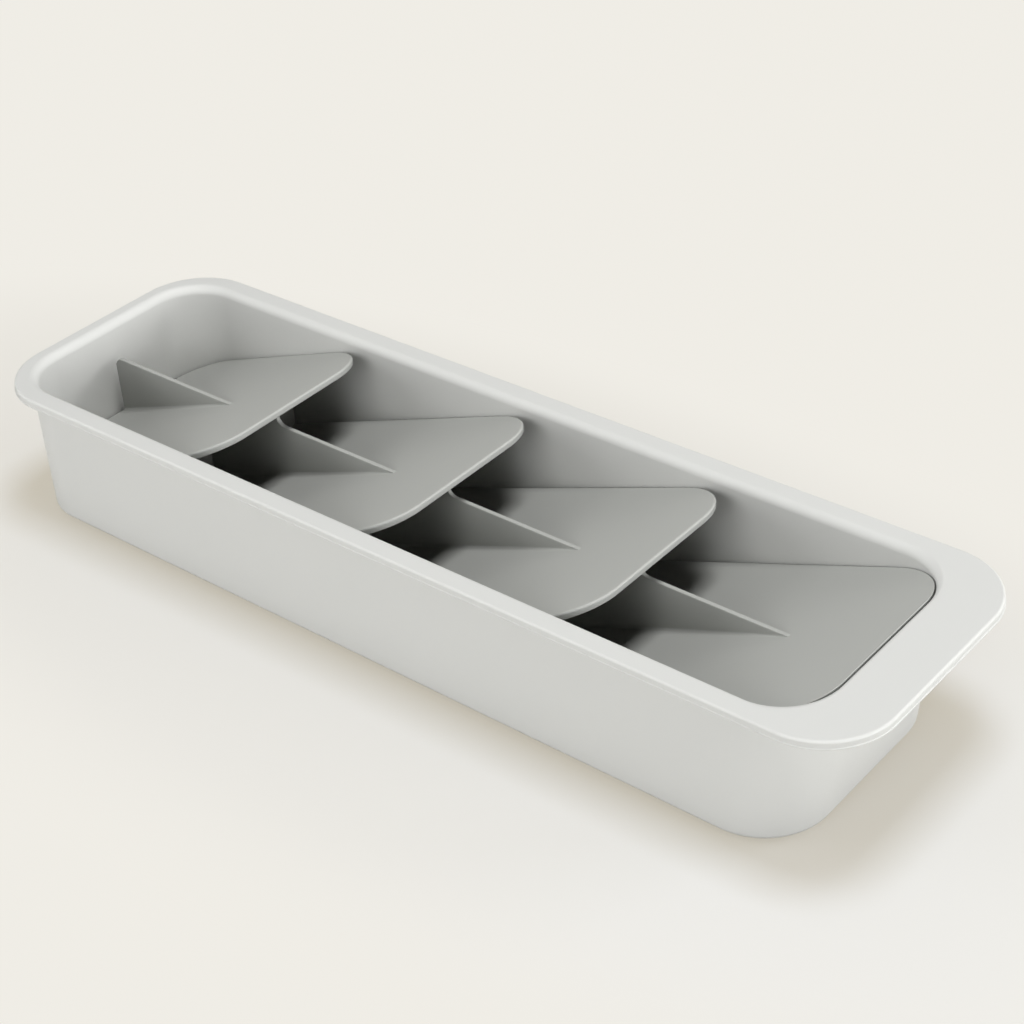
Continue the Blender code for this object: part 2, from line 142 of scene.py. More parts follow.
class Workpiece:
    """One mesh object under work, in edit mode unless a method says otherwise."""

    def __init__(self, name: str) -> None:
        """Starts an empty mesh.

        Args:
            name: The finished piece's name.
        """
        park()
        bpy.ops.mesh.primitive_plane_add(size=1)
        self.body: bpy.types.Object = bpy.context.object
        self.body.name = name
        self.body.data.name = name
        bpy.ops.object.mode_set(mode="EDIT")
        bpy.ops.mesh.select_all(action="SELECT")
        bpy.ops.mesh.delete(type="VERT")
        self.shape().verts.layers.int.new("ring")

    def shape(self) -> bmesh.types.BMesh:
        """Returns the mesh as it is in edit mode."""
        return bmesh.from_edit_mesh(self.body.data)

    def show(self) -> None:
        """Hands changes made in code back to edit mode."""
        bmesh.update_edit_mesh(self.body.data)

    def select(self, kind: Element, test: Callable[..., bool]) -> None:
        """Selects the elements of one kind that pass a test, and nothing else.

        Args:
            kind: Which elements are looked at.
            test: Says whether an element is wanted.
        """
        bpy.ops.mesh.select_mode(type=kind.name)
        bpy.ops.mesh.select_all(action="DESELECT")
        shape = self.shape()
        wanted = [element for element in getattr(shape, kind.value) if test(element)]
        for element in wanted:
            element.select_set(True)
        shape.select_flush_mode()
        self.show()

    def add_plate(self, outline: Outline, z: float, corner_steps: int) -> None:
        """Adds a level face with rounded corners, and leaves it selected.

        Args:
            outline: The face's outline.
            z: Its height.
            corner_steps: How many edges each corner gets.
        """
        length = outline.front_x - outline.rear_x
        centre = Vector((outline.rear_x + length / 2, 0, z))
        bpy.ops.mesh.primitive_plane_add(size=1, location=centre)
        size = (length, 2 * outline.half_width, 1)
        bpy.ops.transform.resize(value=size, center_override=centre)
        ends = ((outline.front_x, outline.front_radius), (outline.rear_x, outline.rear_radius))
        for end_x, radius in ends:
            if radius < NEAR:
                continue
            ring = self.rings()
            self.select(
                Element.VERT, lambda vert: not vert[ring] and abs(vert.co.x - end_x) < NEAR
            )
            self.fillet(radius, corner_steps, Element.VERT)
        ring = self.rings()
        self.select(Element.VERT, lambda vert: not vert[ring])

    def rings(self) -> bmesh.types.BMLayerItem:
        """Returns the layer that numbers the rings of a loft; 0 is no ring."""
        return self.shape().verts.layers.int["ring"]

    def add_ring(self, number: int, outline: Outline, z: float, corner_steps: int) -> None:
        """Adds a ring of edges that a loft passes through, and gives it a number.

        Args:
            number: The ring's number, from 1.
            outline: Its outline.
            z: Its height.
            corner_steps: How many edges each corner gets.
        """
        self.add_plate(outline, z, corner_steps)
        ring = self.rings()
        for vert in self.shape().verts:
            if vert.select:
                vert[ring] = number
        self.show()
        bpy.ops.mesh.delete(type="ONLY_FACE")

    def select_rings(self, *numbers: int) -> None:
        """Selects the edges that run along some of the rings.

        Args:
            numbers: The numbers of those rings.
        """
        ring = self.rings()
        self.select(
            Element.EDGE,
            lambda edge: edge.verts[0][ring] == edge.verts[1][ring]
            and edge.verts[0][ring] in numbers,
        )

    def fillet(self, radius: float, steps: int, kind: Element = Element.EDGE) -> None:
        """Rounds what is selected.

        Args:
            radius: The rounding's radius.
            steps: How many faces it gets, or edges at a point.
            kind: Whether edges are rounded, or points that are the corners of a level face.
        """
        bpy.ops.mesh.bevel(
            offset=radius,
            segments=steps,
            profile=ROUND_PROFILE,
            affect="VERTICES" if kind is Element.VERT else "EDGES",
            clamp_overlap=False,
        )

    def split(self, point: Vector, normal: Vector) -> None:
        """Splits the selected faces along a plane."""
        bpy.ops.mesh.bisect(plane_co=point, plane_no=normal)

    def merge(self) -> None:
        """Merges points that lie together, and turns all faces outward."""
        bpy.ops.mesh.select_mode(type="VERT")
        bpy.ops.mesh.select_all(action="SELECT")
        bpy.ops.mesh.remove_doubles(threshold=MERGE_DISTANCE)
        bpy.ops.mesh.normals_make_consistent(inside=False)

    def fillet_by_share(
        self, radius: float, steps: int, share: Callable[[bmesh.types.BMEdge], float]
    ) -> None:
        """Rounds each edge by its own share of a radius, and returns to object mode.

        Args:
            radius: The radius at a share of 1.
            steps: How many faces a rounding gets.
            share: Gives an edge's share, which is 0 where the edge stays sharp.
        """
        shape = self.shape()
        weights = shape.edges.layers.float.new("bevel_weight_edge")
        for edge in shape.edges:
            edge[weights] = share(edge)
        self.show()
        bpy.ops.object.mode_set(mode="OBJECT")
        bevel = self.body.modifiers.new("fillets", "BEVEL")
        bevel.width = radius
        bevel.segments = steps
        bevel.limit_method = "WEIGHT"
        bevel.use_clamp_overlap = False
        self.apply(bevel)

    def pick(self) -> None:
        """Makes this piece the only one that object operators act on."""
        park()
        self.body.select_set(True)
        bpy.context.view_layer.objects.active = self.body

    def apply(self, modifier: bpy.types.Modifier) -> None:
        """Applies a modifier of this piece."""
        self.pick()
        bpy.ops.object.modifier_apply(modifier=modifier.name)

    def join(self, other: "Workpiece", joining: Joining) -> None:
        """Joins this piece with another one, which is used up.

        Args:
            other: The other piece, in object mode.
            joining: Whether it is added or cut away.
        """
        boolean = self.body.modifiers.new(other.body.name, "BOOLEAN")
        boolean.operation = joining.value
        boolean.solver = "EXACT"
        boolean.object = other.body
        self.apply(boolean)
        bpy.data.objects.remove(other.body, do_unlink=True)

    def finish(self, node: str, slot: Slot, material: bpy.types.Material) -> None:
        """Shades the piece, dresses it and puts it in place of its CAD node.

        Args:
            node: The CAD node that the piece stands for.
            slot: The record's material slot for the piece; not used.
            material: Its material.
        """
        self.pick()
        bpy.ops.object.shade_smooth_by_angle(angle=SMOOTH_ANGLE)
        weighted = self.body.modifiers.new("even_shading", "WEIGHTED_NORMAL")
        weighted.mode = "FACE_AREA"
        weighted.weight = FLAT_FACE_WEIGHT
        weighted.keep_sharp = True
        self.apply(weighted)
        self.body.data.materials.clear()
        self.body.data.materials.append(material)
        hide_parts(node)
        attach(self.body, BODY)
        LOG.info("%s: %d faces", self.body.name, len(self.body.data.polygons))


def park() -> None:
    """Leaves edit mode and deselects everything."""
    if bpy.context.object and bpy.context.object.mode != "OBJECT":
        bpy.ops.object.mode_set(mode="OBJECT")
    bpy.ops.object.select_all(action="DESELECT")


def add_block(name: str, centre: Vector, size: Vector) -> Workpiece:
    """Makes a plain block that is joined to another piece.

    Args:
        name: The block's name.
        centre: Its centre.
        size: Its length along each axis.

    Returns:
        The block, in object mode.
    """
    block = Workpiece(name)
    bpy.ops.mesh.primitive_cube_add(size=1, location=centre)
    bpy.ops.transform.resize(value=size, center_override=centre)
    park()
    return block


class Ring(IntEnum):
    """Numbers of the tray's rings, from its underside round the rim to its floor."""

    BASE = 1
    WALL_TOP = 2
    LIP_ROOT = 3
    LIP_INSIDE = 4
    LIP_FOOT = 5
    BEAD_TOP = 6
    BEAD_ROOT = 7
    RIM = 8
    OPENING = 9
    FLOOR = 10


@dataclass
class Tray:
    """The tray: one moulding with a rolled rim on three sides and a wide flange at the front.

    Attributes:
        rim_corner_radius: Radius of the rim's outer corners.
        rim_plate: Thickness of the rim.
        rim_fall: How far the rim falls toward the opening.
        lip_height: Height of the lip that hangs from the rim.
        lip_wall: Thickness of that lip.
        lip_step: How much higher the lip's inner lower edge lies than its outer one.
        bead: How far the bead along the lip's foot stands out.
        bead_height: Height of that bead.
        lip_edge_radius: Rounding of the rim's outer upper edge.
        lip_foot_radius: Rounding of the lip's lower edges.
        under_rim_radius: Fillet between the walls and the rim's underside.
        side_rim: Width of the rim along the sides.
        rear_rim: Width of the rim at the rear.
        flange: Width of the flange at the front.
        roll_radius: Rounding from the rim down into the tray, on three sides.
        flange_edge_radius: The same at the flange, where it is crisp.
        wall: Thickness of the walls.
        floor: Thickness of the floor.
        rear_corner_radius: Radius of the rear inner corners.
        front_corner_radius: Radius of the front inner corners.
        draft: How far the long walls and the rear wall lean in.
        front_draft: How far the front wall leans in.
        base_edge_radius: Rounding of the body's lower edge.
        floor_edge_radius: Fillet round the floor.
        ledge_depth: How far the ledges stand out from the walls.
        ledge_height: Their height.
        ledge_length: Their length.
        ledge_setback: Distance from a shelf's front edge back to its ledges.
        front_ledge_width: Width of the ledge on the front wall.
        slot_clearance: Room round a tab in its slot.
        seat_depth: Depth of the seats of the feet.
        overrun: How far a cut or a joined block runs past a surface.
        corner_steps: Edges in each corner.
    """

    rim_corner_radius: float = 0.027
    rim_plate: float = 0.0021
    rim_fall: float = 0.0001
    lip_height: float = 0.0034
    lip_wall: float = 0.0016
    lip_step: float = 0.0001
    bead: float = 0.00025
    bead_height: float = 0.0006
    lip_edge_radius: float = 0.0010
    lip_foot_radius: float = 0.0003
    under_rim_radius: float = 0.0010
    side_rim: float = 0.0095
    rear_rim: float = 0.0074
    flange: float = 0.0218
    roll_radius: float = 0.0035
    flange_edge_radius: float = 0.0007
    wall: float = 0.0028
    floor: float = 0.0026
    rear_corner_radius: float = 0.0200
    front_corner_radius: float = 0.0225
    draft: float = math.radians(0.3)
    front_draft: float = math.radians(7)
    base_edge_radius: float = 0.0026
    floor_edge_radius: float = 0.0010
    ledge_depth: float = 0.0016
    ledge_height: float = 0.0040
    ledge_length: float = 0.0170
    ledge_setback: float = 0.0270
    front_ledge_width: float = 0.0300
    slot_clearance: float = 0.0004
    seat_depth: float = 0.0009
    overrun: float = 0.0010
    corner_steps: int = 28

    def __post_init__(self) -> None:
        """Takes the tray's overall size from its CAD node."""
        low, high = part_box("tray")
        self.underside_z: float = low.z
        self.floor_z: float = low.z + self.floor
        self.top_z: float = high.z
        self.rim = Outline(low.x, high.x, high.y, self.rim_corner_radius, self.rim_corner_radius)

    def inner_half_width(self, z: float) -> float:
        """Returns half the distance between the long inner walls at a height."""
        return self.rim.half_width - self.side_rim - (self.top_z - z) * math.tan(self.draft)

    def walls(self, z: float, grown: float) -> Outline:
        """Returns the outline of the inner walls.

        Args:
            z: Height at which they are cut.
            grown: How far the outline is moved out, such as by the walls' thickness.

        Returns:
            The outline.
        """
        depth = self.top_z - z
        inner = Outline(
            self.rim.rear_x + self.rear_rim + depth * math.tan(self.draft),
            self.rim.front_x - self.flange - depth * math.tan(self.front_draft),
            self.inner_half_width(z),
            self.rear_corner_radius,
            self.front_corner_radius,
        )
        return inner.inset(-grown)

    def build(self, tiers: list["Tier"], feet: list["Foot"]) -> Workpiece:
        """Models the tray.

        Args:
            tiers: The shelves that stand in it.
            feet: The feet that sit in its underside.

        Returns:
            The tray, in object mode.
        """
        piece = Workpiece("tray_moulding")
        self._loft(piece)
        self._round_edges(piece)
        for tier in tiers:
            self._seat_tier(piece, tier)
        piece.join(self._front_ledge(tiers[-1]), Joining.ADD)
        for foot in feet:
            piece.join(foot.seat(self.underside_z, self.seat_depth, self.overrun), Joining.CUT)
        return piece

    def _loft(self, piece: Workpiece) -> None:
        """Skins the tray's rings and closes its underside and its floor.

        Args:
            piece: The tray, still empty.
        """
        under_rim_z = self.top_z - self.rim_plate
        lip_z = self.top_z - self.lip_height
        lip_inside = self.rim.inset(self.lip_wall)
        bead = self.rim.inset(-self.bead)
        places = {
            Ring.BASE: (self.walls(self.underside_z, self.wall), self.underside_z),
            Ring.WALL_TOP: (self.walls(under_rim_z, self.wall), under_rim_z),
            Ring.LIP_ROOT: (lip_inside, under_rim_z),
            Ring.LIP_INSIDE: (lip_inside, lip_z + self.lip_step),
            Ring.LIP_FOOT: (bead, lip_z),
            Ring.BEAD_TOP: (bead, lip_z + self.bead_height),
            Ring.BEAD_ROOT: (self.rim, lip_z + self.bead_height + self.bead),
            Ring.RIM: (self.rim, self.top_z),
            Ring.OPENING: (self.walls(self.top_z, 0), self.top_z - self.rim_fall),
            Ring.FLOOR: (self.walls(self.floor_z, 0), self.floor_z),
        }
        for number, (outline, z) in places.items():
            piece.add_ring(number, outline, z, self.corner_steps)
        for number in range(Ring.BASE, Ring.FLOOR):
            piece.select_rings(number, number + 1)
            bpy.ops.mesh.bridge_edge_loops()
        for number in (Ring.BASE, Ring.FLOOR):
            piece.select_rings(number)
            bpy.ops.mesh.edge_face_add()
        piece.merge()

    def _round_edges(self, piece: Workpiece) -> None:
        """Rounds the tray's edges, and rolls the rim's inner edge.

        Args:
            piece: The tray as it comes from the loft.
        """
        roundings = (
            (Ring.BASE, self.base_edge_radius, Steps.BASE),
            (Ring.WALL_TOP, self.under_rim_radius, Steps.SMALL),
            (Ring.LIP_INSIDE, self.lip_foot_radius, Steps.TINY),
            (Ring.LIP_FOOT, self.lip_foot_radius, Steps.SMALL),
            (Ring.RIM, self.lip_edge_radius, Steps.LIP),
            (Ring.FLOOR, self.floor_edge_radius, Steps.SMALL),
        )
        for number, radius, steps in roundings:
            piece.select_rings(number)
            piece.fillet(radius, steps)
        piece.select_rings(Ring.OPENING)
        piece.fillet_by_share(self.roll_radius, Steps.ROLL, self._roll_share)

    def _roll_share(self, edge: bmesh.types.BMEdge) -> float:
        """Says how soft an edge of the opening, which is selected, becomes.

        The roll is full along the sides and the rear, and it tightens evenly round the front
        corners to the flange's crisp edge.

        Args:
            edge: An edge of the tray.

        Returns:
            Its share of the roll's radius, which is 0 for edges that aren't selected.
        """
        if not edge.select:
            return 0.0
        place = (edge.verts[0].co + edge.verts[1].co) / 2
        crisp = self.flange_edge_radius / self.roll_radius
        opening = self.walls(self.top_z, 0)
        ahead = place.x - (opening.front_x - opening.front_radius)
        beside = abs(place.y) - (opening.half_width - opening.front_radius)
        if ahead <= 0:
            return 1.0
        turn = math.atan2(max(beside, 0), ahead)
        return crisp + (1 - crisp) * math.sin(turn)

    def _seat_tier(self, piece: Workpiece, tier: "Tier") -> None:
        """Adds the two ledges that a shelf rests on, and cuts the slots for its tabs.

        Args:
            piece: The tray.
            tier: The shelf.
        """
        reach = self.ledge_depth + self.overrun
        middle_x = tier.front_x - self.ledge_setback - self.ledge_length / 2
        middle_z = tier.under_z(middle_x) - tier.gap - self.ledge_height / 2
        middle_y = self.inner_half_width(middle_z) - self.ledge_depth + reach / 2
        slot_size = Vector(
            (
                tier.tab_thickness + 2 * self.slot_clearance,
                tier.tab_width + 2 * self.slot_clearance,
                self.floor + 2 * self.overrun,
            )
        )
        for side in (-1, 1):
            ledge = add_block(
                f"{tier.name}_ledge",
                Vector((middle_x, side * middle_y, middle_z)),
                Vector((self.ledge_length, reach, self.ledge_height)),
            )
            for vert in ledge.body.data.vertices:
                vert.co.z += (vert.co.x - middle_x) * tier.rise
            piece.join(ledge, Joining.ADD)
            centre = Vector((tier.foot_x, side * tier.tab_offset, self.floor_z - self.floor / 2))
            piece.join(add_block(f"{tier.name}_slot", centre, slot_size), Joining.CUT)

    def _front_ledge(self, tier: "Tier") -> Workpiece:
        """Makes the ledge on the front wall.

        Args:
            tier: The front shelf, which rests on it.

        Returns:
            The ledge, in object mode.
        """
        reach = self.ledge_depth + self.overrun
        top_z = tier.under_z(tier.front_x - self.ledge_depth) - tier.gap
        middle_x = self.walls(top_z, 0).front_x - self.ledge_depth + reach / 2
        middle_z = tier.under_z(middle_x) - tier.gap - self.ledge_height / 2
        return add_block(
            "front_ledge",
            Vector((middle_x, 0, middle_z)),
            Vector((reach, self.front_ledge_width, self.ledge_height)),
        )


@dataclass
class Tier:
    """One sloping shelf with its upright fin, its foot wall and its tabs.

    Attributes:
        number: Which shelf it is, counted from the rear.
        tray: The tray that it stands in.
        above: The shelf that overlaps it, if any.
        slope: How steeply the shelf climbs.
        thickness: The plate's thickness.
        edge_radius: Rounding of the plate's upper edge.
        crisp_edge_radius: Rounding of the upper edge where the plate ends at the flange.
        lower_edge_radius: Rounding of its lower edge.
        corner_radius: Radius of the plate's front corners.
        side_clearance: Room between the plate and the tray's walls.
        gap: Room between pieces that rest on each other.
        fin_thickness: Thickness of the fin.
        fin_below_rim: How far the fin's top lies below the rim.
        fin_base_radius: Fillet where the fin meets the plate.
        fin_base_end: Height of the fin at which that fillet has faded out.
        fin_base_share: Largest part of the fin's height above that which it takes.
        fin_top_radius: Rounding along the fin's top.
        fin_top_share: Largest part of the fin's height that it takes.
        fin_rear_radius: Rounding of the rearmost fin's rear corner.
        fin_rear_gap: Room behind the rearmost fin.
        fin_rear_fillet: Fillet behind the rearmost fin.
        fin_foot_overlap: How far in front of its foot wall's middle any other fin ends.
        tip_step: Distance from the fin's tip to the first cross section.
        tip_growth: How much further each next cross section lies.
        riser_setback: From the shelf above's front edge back to the fin's riser.
        riser_radius: Curve at the foot of the riser.
        foot_wall: Thickness of the wall that the shelf stands on.
        tab_thickness: Thickness of the tabs.
        tab_width: Their width.
        tab_offset: From the middle to each tab.
        corner_steps: Edges in each corner of the plate.
        arc_steps: Edges in each curve of the fin's outline.
    """

    number: int
    tray: Tray
    above: "Tier | None" = None
    slope: float = math.radians(20.8)
    thickness: float = 0.0028
    edge_radius: float = 0.0011
    crisp_edge_radius: float = 0.0003
    lower_edge_radius: float = 0.0004
    corner_radius: float = 0.0225
    side_clearance: float = 0.0005
    gap: float = 0.00035
    fin_thickness: float = 0.0018
    fin_below_rim: float = 0.0136
    fin_base_radius: float = 0.0014
    fin_base_end: float = 0.0006
    fin_base_share: float = 0.35
    fin_top_radius: float = 0.0005
    fin_top_share: float = 0.3
    fin_rear_radius: float = 0.0045
    fin_rear_gap: float = 0.0012
    fin_rear_fillet: float = 0.0003
    fin_foot_overlap: float = 0.0005
    tip_step: float = 0.0004
    tip_growth: float = 1.8
    riser_setback: float = 0.0095
    riser_radius: float = 0.0040
    foot_wall: float = 0.0020
    tab_thickness: float = 0.0016
    tab_width: float = 0.0110
    tab_offset: float = 0.0150
    corner_steps: int = 24
    arc_steps: int = 8

    def __post_init__(self) -> None:
        """Takes the shelf's place from its CAD node."""
        low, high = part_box(self.name)
        self.front_x: float = high.x
        self.front_z: float = high.z
        self.rise: float = math.tan(self.slope)
        self.depth: float = self.thickness / math.cos(self.slope)
        self.fin_z: float = self.tray.top_z - self.fin_below_rim
        self.tip_x: float = self.front_x - (self.front_z - self.fin_z) / self.rise
        self.foot_x: float = low.x + self.foot_wall / 2
        if self.above is None:
            next_heel_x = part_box(f"tier_{self.number + 1}")[0].x
            self.foot_x = (self.tray.walls(self.tray.top_z, 0).rear_x + next_heel_x) / 2
        self.rear_x: float = low.x if self.above is None else self.foot_x

    @property
    def name(self) -> str:
        """The name of the shelf's CAD node."""
        return f"tier_{self.number}"

    def top_z(self, x: float) -> float:
        """Returns the height of the plate's upper face."""
        return self.front_z - (self.front_x - x) * self.rise

    def under_z(self, x: float) -> float:
        """Returns the height of the plate's lower face."""
        return self.top_z(x) - self.depth

    def on_top(self, vert: bmesh.types.BMVert) -> bool:
        """Says whether a point lies in the plate's upper face."""
        return abs(vert.co.z - self.top_z(vert.co.x)) < NEAR

    def build(self) -> Workpiece:
        """Models the shelf.

        Returns:
            The shelf, in object mode.
        """
        piece = Workpiece(f"shelf_{self.number}")
        self._plate(piece)
        self._fin(piece)
        self._soften_fin(piece)
        piece.join(self._foot_wall(), Joining.ADD)
        for side in (-1, 1):
            piece.join(self._tab(side), Joining.ADD)
        return piece

    def _plate(self, piece: Workpiece) -> None:
        """Makes the sloping plate with its rounded front corners and edges.

        Args:
            piece: The shelf, still empty.
        """
        half_width = self.tray.inner_half_width(self.front_z) - self.side_clearance
        rear_radius = 0.0
        if self.above is None:
            rear_radius = self.tray.rear_corner_radius - self.side_clearance
        outline = Outline(self.rear_x, self.front_x, half_width, rear_radius, self.corner_radius)
        piece.add_plate(outline, self.front_z, self.corner_steps)
        bpy.ops.mesh.extrude_region_move(TRANSFORM_OT_translate={"value": (0, 0, -self.depth)})
        piece.merge()
        low_z = self.front_z - self.depth
        for z, radius, steps in (
            (self.front_z, self.edge_radius, Steps.PLATE),
            (low_z, self.lower_edge_radius, Steps.TINY),
        ):
            piece.select(Element.EDGE, lambda edge: self._on_border(edge, z))
            piece.fillet(radius, steps)
        for vert in piece.shape().verts:
            vert.co.z += (vert.co.x - self.front_x) * self.rise
        piece.show()
        piece.merge()

    def _on_border(self, edge: bmesh.types.BMEdge, z: float) -> bool:
        """Says whether an edge of the plate, while that is level, gets rounded.

        Args:
            edge: The edge.
            z: Height of the face whose border is rounded.

        Returns:
            Whether it lies in that border, and not under the shelf above.
        """
        level = all(abs(vert.co.z - z) < NEAR for vert in edge.verts)
        hidden = self.above and all(abs(vert.co.x - self.rear_x) < NEAR for vert in edge.verts)
        return level and not hidden

    def _fin_rear_x(self) -> float:
        """Finds where the fin ends at the rear.

        Returns:
            A place clear of the tray's end wall, or one in the foot wall.
        """
        if self.above is None:
            return self.tray.walls(self.fin_z, 0).rear_x + self.fin_rear_gap + self.edge_radius
        return self.foot_x + self.fin_foot_overlap

    def _riser_x(self) -> float:
        """Returns where the fin rises under the shelf above."""
        return self.above.front_x - self.riser_setback

    def _fin_top_z(self, x: float) -> float:
        """Finds the height of the fin's top edge.

        Args:
            x: Where along the fin.

        Returns:
            The height there: level, with a rounded rear corner on the rearmost fin, and with a
            riser up to the shelf above on the others.
        """
        if self.above is None:
            from_rear = x - self._fin_rear_x()
            if from_rear >= self.fin_rear_radius:
                return self.fin_z
            across = self.fin_rear_radius - from_rear
            return self.fin_z - self.fin_rear_radius + math.sqrt(
                max(self.fin_rear_radius**2 - across**2, 0)
            )
        riser_x = self._riser_x()
        if x < riser_x - NEAR:
            return self.above.under_z(x) - self.gap
        across = riser_x + self.riser_radius - x
        if across <= 0:
            return self.fin_z
        return self.fin_z + self.riser_radius - math.sqrt(
            max(self.riser_radius**2 - across**2, 0)
        )

    def _stations(self) -> list[float]:
        """Finds the places along the fin where its outline needs points.

        Returns:
            The places, from the rear.
        """
        stations = [self.tip_x]
        behind = self.tip_step
        while behind < self.fin_z - self.tray.floor_z:
            stations.append(self.tip_x - behind)
            behind *= self.tip_growth
        if self.above is None:
            start, radius = self._fin_rear_x(), self.fin_rear_radius
            stations.append(start)
        else:
            start, radius = self._riser_x(), self.riser_radius
            wall_front = self.foot_x + self.foot_wall / 2
            # The base's fillet ends just inside the foot wall, and the riser is a step
            inside = 2 * NEAR
            stations += [self._fin_rear_x(), wall_front - inside, start - inside, start]
        for step in range(1, self.arc_steps + 1):
            turn = math.pi / 2 * step / self.arc_steps
            stations.append(start + radius * (1 - math.cos(turn)))
        return sorted(set(stations))

    def _fin(self, piece: Workpiece) -> None:
        """Raises the fin from a strip along the middle of the plate.

        Args:
            piece: The shelf with its plate.
        """
        half = self.fin_thickness / 2
        for side in (-1, 1):
            piece.select(Element.FACE, lambda face: all(map(self.on_top, face.verts)))
            piece.split(Vector((0, side * half, 0)), Vector((0, 1, 0)))
        for x in self._stations():
            piece.select(Element.FACE, lambda face: self._in_strip(face, half))
            piece.split(Vector((x, 0, 0)), Vector((1, 0, 0)))
        rear_x = self._fin_rear_x()
        piece.select(
            Element.FACE,
            lambda face: self._in_strip(face, half)
            and rear_x < face.calc_center_median().x < self.tip_x,
        )
        bpy.ops.mesh.extrude_region_move(TRANSFORM_OT_translate={"value": (0, 0, 0)})
        for vert in piece.shape().verts:
            if vert.select and vert.co.x < self.tip_x - VERY_NEAR:
                vert.co.z = max(self._fin_top_z(vert.co.x), vert.co.z)
        piece.show()
        piece.merge()

    def _in_strip(self, face: bmesh.types.BMFace, half: float) -> bool:
        """Says whether a face lies in the strip that becomes the fin's top.

        Args:
            face: The face.
            half: Half the strip's width.

        Returns:
            Whether it lies in the plate's upper face, within the strip.
        """
        return abs(face.calc_center_median().y) < half / 2 and all(
            self.on_top(vert) and abs(vert.co.y) < half + NEAR for vert in face.verts
        )

    def _soften_fin(self, piece: Workpiece) -> None:
        """Fillets the fin's base and rounds its top, both fading out at the tip.

        Args:
            piece: The shelf with its plate and its fin.
        """
        piece.fillet_by_share(
            self.fin_base_radius,
            Steps.SMALL,
            lambda edge: self._fin_rounding(edge) / self.fin_base_radius,
        )

    def _fin_rounding(self, edge: bmesh.types.BMEdge) -> float:
        """Finds the rounding of one of the shelf's edges.

        Args:
            edge: The edge.

        Returns:
            Its radius, which is 0 unless the edge belongs to the fin.
        """
        first, last = (vert.co for vert in edge.verts)
        middle = (first + last) / 2
        half = self.fin_thickness / 2
        on_side = all(abs(abs(place.y) - half) < NEAR for place in (first, last))
        if not on_side or middle.x > self.tip_x or middle.x < self._fin_rear_x() - NEAR:
            return 0.0
        above_plate = middle.z - self.top_z(middle.x)
        height = min(self._fin_top_z(place.x) - self.top_z(place.x) for place in (first, last))
        at_rear = abs(middle.x - self._fin_rear_x()) < NEAR
        if first.y * last.y < 0:
            shown = at_rear and self.above is None and above_plate < NEAR
            return self.fin_rear_fillet if shown else 0.0
        if abs(first.x - last.x) < VERY_NEAR:
            return self.fin_top_radius if at_rear and self.above is None else 0.0
        if above_plate > NEAR:
            return min(self.fin_top_radius, self.fin_top_share * height)
        if self.above is not None and middle.x < self.foot_x + self.foot_wall / 2:
            return 0.0
        room = self.fin_base_share * (height - self.fin_base_end)
        return max(0.0, min(self.fin_base_radius, room))

    def _foot_wall(self) -> Workpiece:
        """Makes the wall that the shelf stands on, which also closes the space behind it.

        Returns:
            The wall, in object mode.
        """
        low_z = self.tray.floor_z + self.gap
        if self.above is None:
            high_z = self.top_z(self.foot_x) - self.depth / 2
        else:
            high_z = self.above.under_z(self.foot_x - self.foot_wall / 2) - self.gap
        half_width = self.tray.inner_half_width(low_z) - 2 * self.side_clearance
        centre = Vector((self.foot_x, 0, (low_z + high_z) / 2))
        size = Vector((self.foot_wall, 2 * half_width, high_z - low_z))
        return add_block(f"{self.name}_foot_wall", centre, size)

    def _tab(self, side: int) -> Workpiece:
        """Makes one of the two tabs under the foot wall.

        Args:
            side: 1 for the left side, -1 for the right.

        Returns:
            The tab, in object mode.
        """
        low_z = self.tray.underside_z + self.gap
        high_z = self.tray.floor_z + 2 * self.gap + self.tray.overrun
        centre = Vector((self.foot_x, side * self.tab_offset, (low_z + high_z) / 2))
        size = Vector((self.tab_thickness, self.tab_width, high_z - low_z))
        return add_block(f"{self.name}_tab", centre, size)


